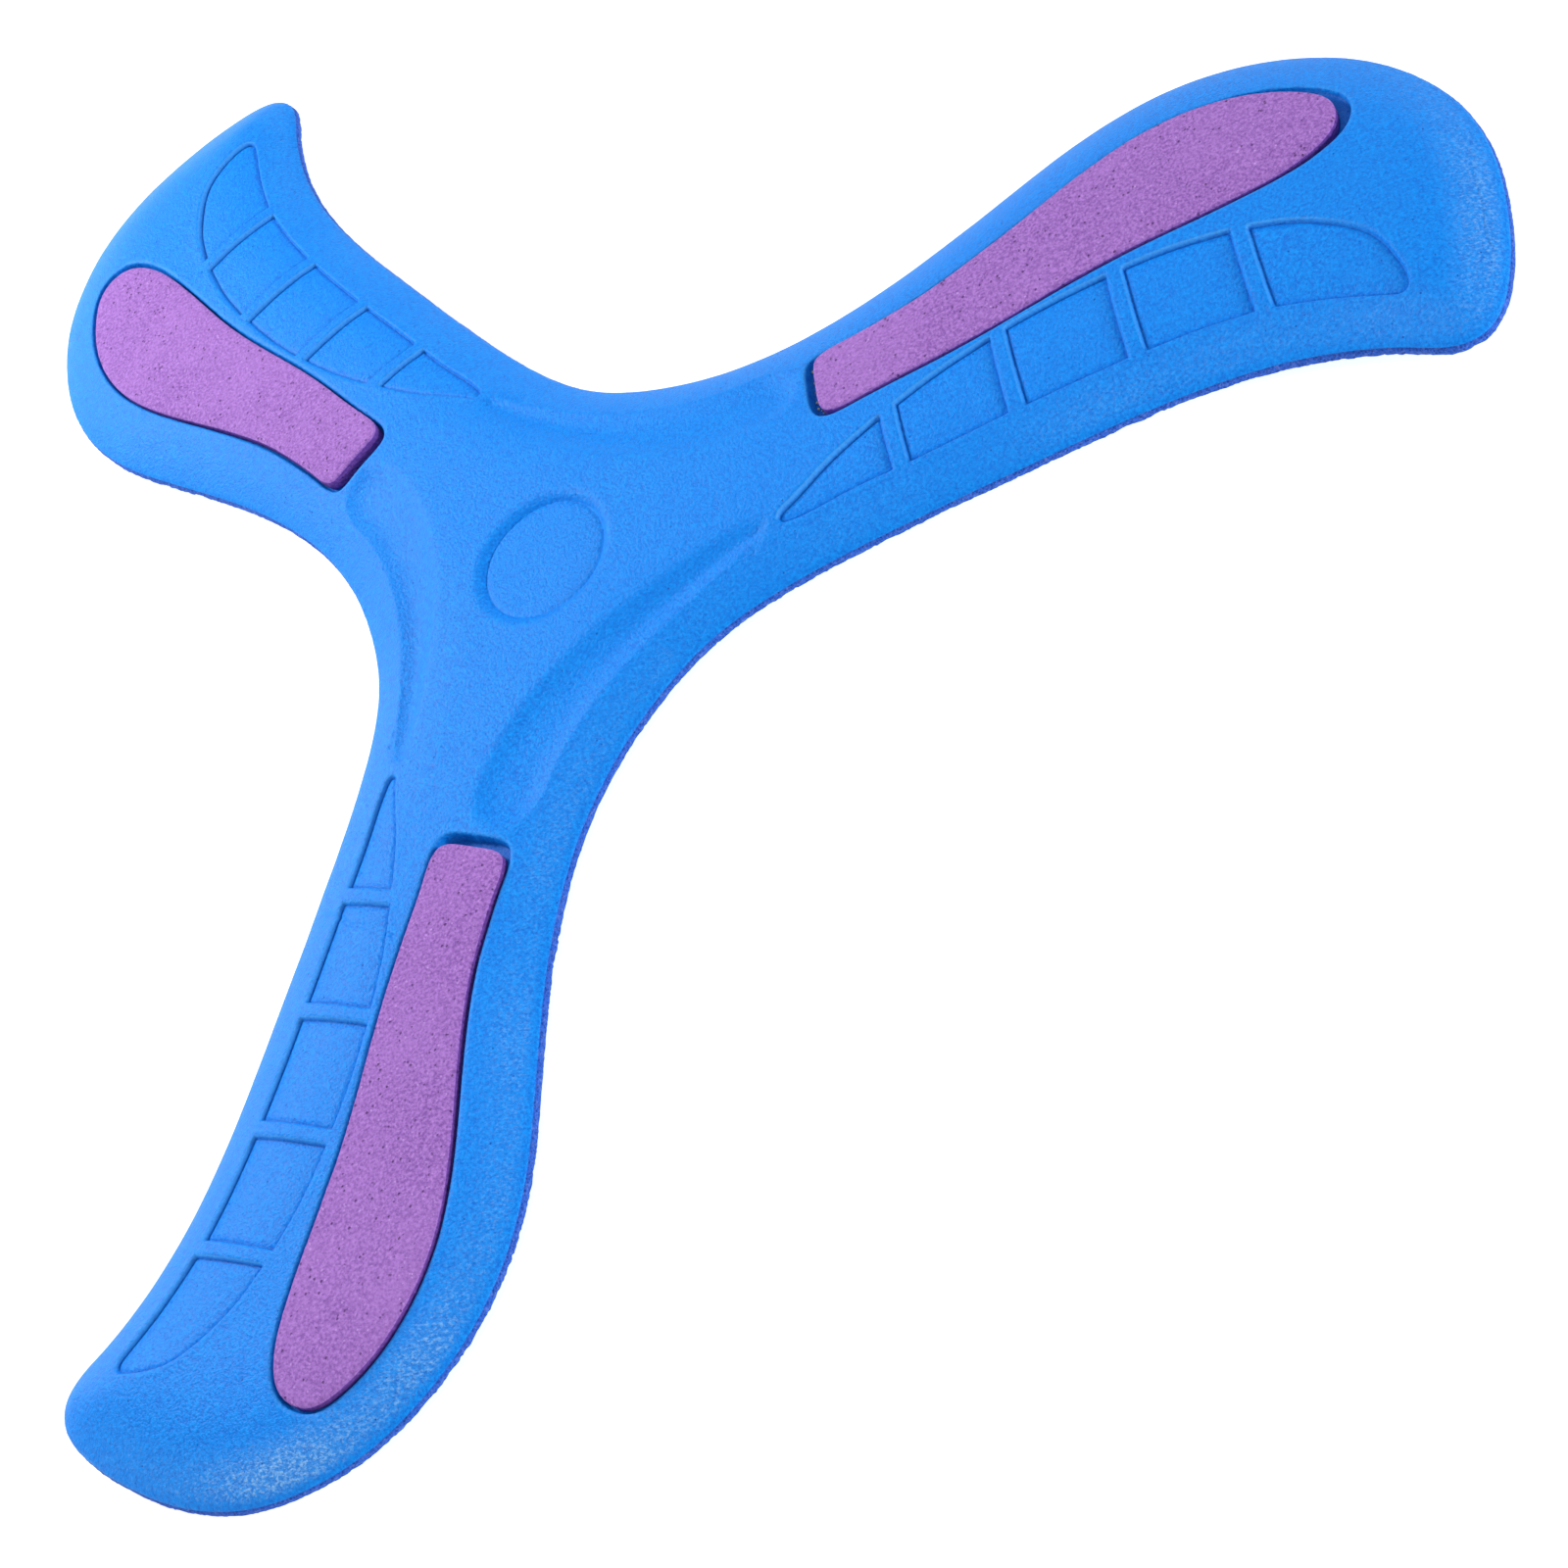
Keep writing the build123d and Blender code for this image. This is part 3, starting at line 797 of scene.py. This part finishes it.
# -------------------------------------------------------------------- inlays
pieces = [(body, "foam_body", "blue_foam")]
for name, a in BLADE.items():
    cx, cy, fac, lift, turn = PLACE[name]
    shape = spline_closed([(x * fac, y) for x, y in INLAY_OUTLINE], 0.45)
    shape = rot(shape, turn)
    wob = np.array([noise.noise((i * 0.9, 3.0 + a, 0)) for i in range(len(shape))]) * 0.05
    shape = offset(shape, 0.0) + (offset(shape, 1.0) - shape) * wob[:, None]
    reg = Region(shape)
    lp = [shape, offset(shape, -0.12), offset(shape, -0.35), offset(shape, -0.8)]
    v, f = mesh_plan(lp, reg, 0.95, 0.35)
    d = -reg.signed(v, 2)
    z = np.full(len(v), INLAY_TOP)
    z -= INLAY_SAG * (THICKNESS - dome(-body_region.signed(rot(v + np.array([cx, cy]), a), 5)))
    z -= 0.30 * np.clip(1 - d / 0.38, 0, 1) ** 2
    z += 0.07 * noise2(v, 6.0, a) + 0.035 * noise2(v, 1.6, a + 4)
    z += lift * smooth((-v[:, 0] - 8) / 34.0)
    # ring and cut wall
    tr = kdtree.KDTree(len(v))
    for i, q in enumerate(v):
        tr.insert((q[0], q[1], 0), i)
    tr.balance()
    rg = []
    for q in shape:
        i = tr.find((q[0], q[1], 0))[1]
        if not rg or rg[-1] != i:
            rg.append(i)
    rxy = v[rg]
    nn = np.roll(rxy, -1, 0) - np.roll(rxy, 1, 0)
    nn /= np.linalg.norm(nn, axis=1)[:, None]
    nn = np.c_[nn[:, 1], -nn[:, 0]]
    vs, fs, fm = [np.c_[v, z]], [tuple(t) for t in f], [0] * len(f)
    cnt, pv, mm = len(v), np.array(rg), len(rg)
    floor_z = POCKET_FLOOR + GLUE
    for lev in (0.85, 0.6, 0.35, 0.12, 0.0):
        dsp = 0.07 * np.array([noise.noise((x / 0.6, y / 0.6, lev * 4 + a)) for x, y in rxy])
        vs.append(np.c_[rxy + nn * dsp[:, None], floor_z + (z[rg] - floor_z) * lev])
        cu = np.arange(cnt, cnt + mm)
        cnt += mm
        for i in range(mm):
            j = (i + 1) % mm
            fs.append((pv[i], cu[i], cu[j], pv[j]))
            fm.append(1)
        pv = cu
    fs.append(tuple(int(i) for i in pv[::-1]))
    fm.append(1)
    V = np.vstack(vs)
    V[:, :2] = rot(V[:, :2] + np.array([cx, cy]), a)
    o = make_object("inlay_" + name, lay(V, name), fs, [inlay_top, inlay_shaded_side], fm)
    pieces.append((o, "blade_" + name + "_inlay", "violet_foam"))
    # glue film with an uneven edge and a few squeezed-out beads
    g = offset(shape, -1.2)
    wob = np.array([noise.noise((i * 0.13, 8.0 + a, 0)) for i in range(len(g))]) * 0.7
    g = g + (offset(g, 1.0) - g) * wob[:, None]
    gn = len(g)
    lo = np.c_[g, np.full(gn, POCKET_FLOOR + 0.01)]
    hi = np.c_[offset(g, -0.15), np.full(gn, POCKET_FLOOR + GLUE - 0.01)]
    gf = [(i, (i + 1) % gn, gn + (i + 1) % gn, gn + i) for i in range(gn)]
    gf += [tuple(range(gn - 1, -1, -1)), tuple(range(gn, 2 * gn))]
    gv = [np.vstack([lo, hi])]
    gc = 2 * gn
    rng = np.random.default_rng(int(a) + 5)
    for k in range(14 if name == "b" else 0):
        bx = -43.1 * fac + rng.uniform(-0.75, -0.05)
        by = rng.uniform(-9.0, 1.4)
        rad = rng.uniform(0.10, 0.26)
        seg = 8
        th = np.linspace(0, 2 * math.pi, seg, endpoint=False)
        rows = []
        for q, hgt in ((1.0, 0.0), (0.85, 0.45), (0.45, 0.85)):
            rr = rad * q * (1 + 0.25 * rng.uniform(-1, 1, seg))
            rows.append(np.c_[bx + rr * np.cos(th), by + rr * np.sin(th) * rng.uniform(0.8, 1.6),
                              np.full(seg, POCKET_FLOOR + 0.01 + hgt * rad)])
        rows.append(np.array([[bx, by, POCKET_FLOOR + 0.01 + rad]]))
        gv += rows
        for r_ in range(2):
            for i in range(seg):
                j = (i + 1) % seg
                gf.append((gc + r_ * seg + i, gc + r_ * seg + j, gc + (r_ + 1) * seg + j, gc + (r_ + 1) * seg + i))
        for i in range(seg):
            gf.append((gc + 2 * seg + i, gc + 2 * seg + (i + 1) % seg, gc + 3 * seg))
        gf.append(tuple(gc + i for i in range(seg - 1, -1, -1)))
        gc += 3 * seg + 1
    G = np.vstack(gv)
    G[:, :2] = rot(G[:, :2] + np.array([cx, cy]), a)
    go = make_object("glue_" + name, lay(G, name), gf, [glue_mat])
    pieces.append((go, "blade_" + name + "_glue_film", "contact_glue"))

for o, cad, slot_name in pieces:
    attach(o, "root")
    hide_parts(cad)

# --------------------------------------------------------- floor, light, view
fv = [(-6, -6, -0.0016), (6, -6, -0.0016), (6, 6, -0.0016), (-6, 6, -0.0016)]
fme = bpy.data.meshes.new("studio_floor")
fme.from_pydata(fv, [], [(0, 1, 2, 3)])
fme.materials.append(mat_floor())
floor = bpy.data.objects.new("studio_floor", fme)
bpy.context.scene.collection.objects.link(floor)

R = Matrix(((0.8697447320195939, -0.1605267506816286, -0.4666639727253039),
            (-0.4019324169701052, -0.7790967033734837, -0.4811015059019662),
            (-0.28634670124297656, 0.6060028787952813, -0.7421361583827439)))
eye_at = Vector((0.15506734, -0.32311021, 0.32565756 + 0.00567532))
cd = bpy.data.cameras.new("camera")
cd.sensor_width = 36.0
cd.lens = 3398.408 / 1600.0 * 36.0
cd.clip_start = 0.01
cam = bpy.data.objects.new("camera", cd)
cam.matrix_world = Matrix.Translation(eye_at) @ (R.transposed() @ Matrix.Diagonal((1, -1, -1))).to_4x4()
bpy.context.scene.collection.objects.link(cam)
bpy.context.scene.camera = cam

# directions on the page, right and down in the view; the lights below do not use them
right = (R.transposed() @ Vector((1, 0, 0)))
down = (R.transposed() @ Vector((0, 1, 0)))


def area_light(name, where, size, power, colour=(1, 1, 1), at=(0, 0, 0)):
    ld = bpy.data.lights.new(name, "AREA")
    ld.shape = "RECTANGLE"
    ld.size, ld.size_y = size
    ld.energy = power
    ld.color = colour
    o = bpy.data.objects.new(name, ld)
    o.location = where
    o.rotation_euler = (Vector(at) - Vector(where)).to_track_quat("-Z", "Y").to_euler()
    bpy.context.scene.collection.objects.link(o)
    return o


# soft boxes around the table: bearing (degrees from +X), height angle, strength
def soft_box(name, bearing, lift, power, side=0.6, far=1.5):
    a, e = math.radians(bearing), math.radians(lift)
    area_light(name, Vector((math.cos(a) * math.cos(e), math.sin(a) * math.cos(e), math.sin(e))) * far,
               (side, side), power)


soft_box("key", 140, 36, 3.15, 0.15, 0.62)
soft_box("top", -50, 72, 1.05, 0.20, 1.0)
soft_box("front", -22, 11, 5.4, 0.18, 1.0)
soft_box("back", 75, 28, 1.6, 0.40, 1.2)
soft_box("left", 215, 30, 2.1, 0.60, 1.2)
world = bpy.data.worlds.new("studio")
world.use_nodes = True
world.node_tree.nodes["Background"].inputs[0].default_value = (1, 1, 1, 1)
world.node_tree.nodes["Background"].inputs[1].default_value = 0.36
bpy.context.scene.world = world
bpy.context.scene.view_settings.view_transform = "Standard"
